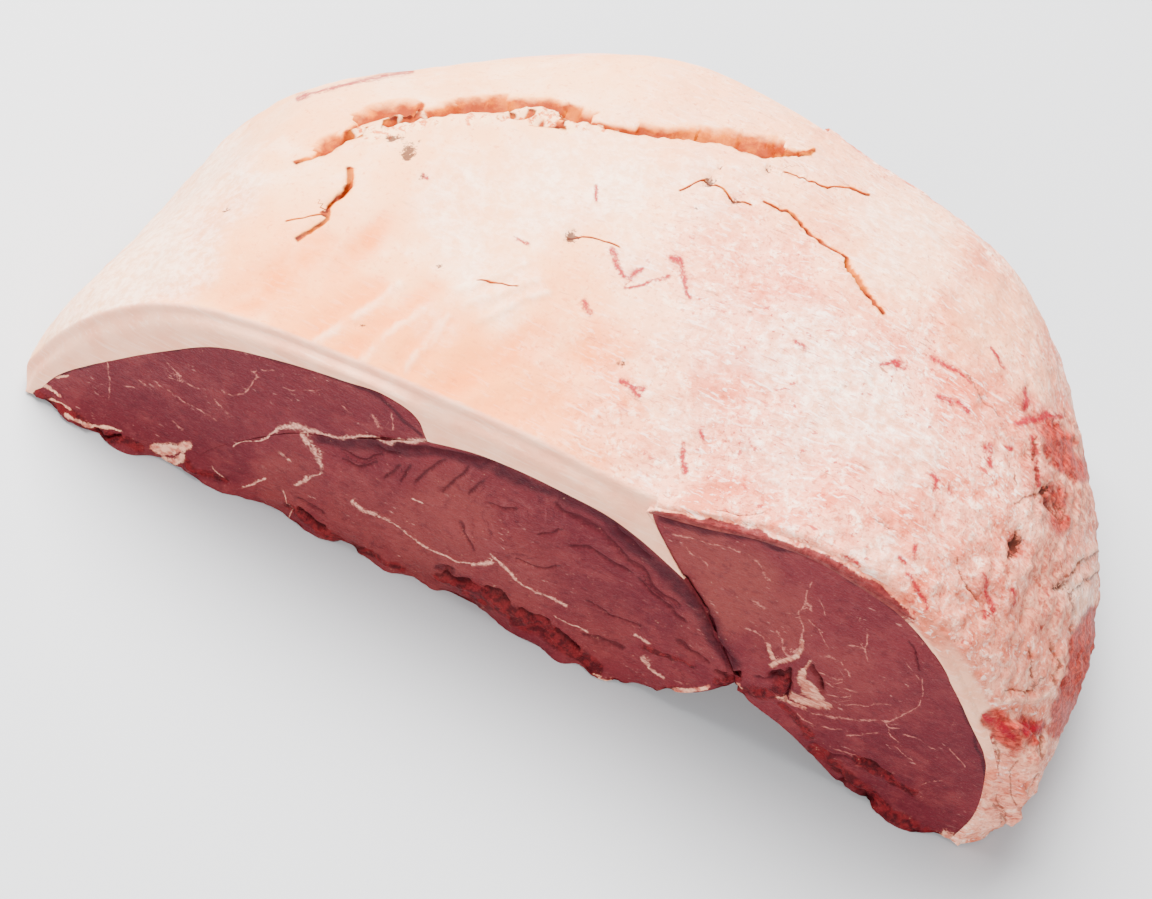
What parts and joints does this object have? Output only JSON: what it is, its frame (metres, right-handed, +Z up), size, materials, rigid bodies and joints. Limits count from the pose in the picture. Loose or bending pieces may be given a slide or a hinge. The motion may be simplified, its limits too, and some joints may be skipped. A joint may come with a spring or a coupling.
{
  "type": "beef rump joint",
  "caption": "Large raw boneless beef joint with a straight cut face, a domed cap of creamy fat on top and lean muscles under it.",
  "frame": {"origin": "under the middle of the joint's box, on the board that it lies on", "axes": "+X along the straight cut face, from its thin left end to its thick right end; -Y is where the cut face looks; +Z up, towards the cap of fat"},
  "size_m": [0.3712, 0.1992, 0.1287],
  "materials": {
    "fat": "creamy to pinkish beef fat with a moist, slightly waxy skin, fine fibres, orange cracks and small blood stains",
    "lean": "moist plum red lean beef, cut across the grain, with thin white marbling and a brighter ragged foot"
  },
  "bodies": {
    "root": {"fat_cap": "fat", "cap_muscle": "lean", "eye_muscle": "lean", "tail_muscle": "lean"}
  },
  "joints": []
}
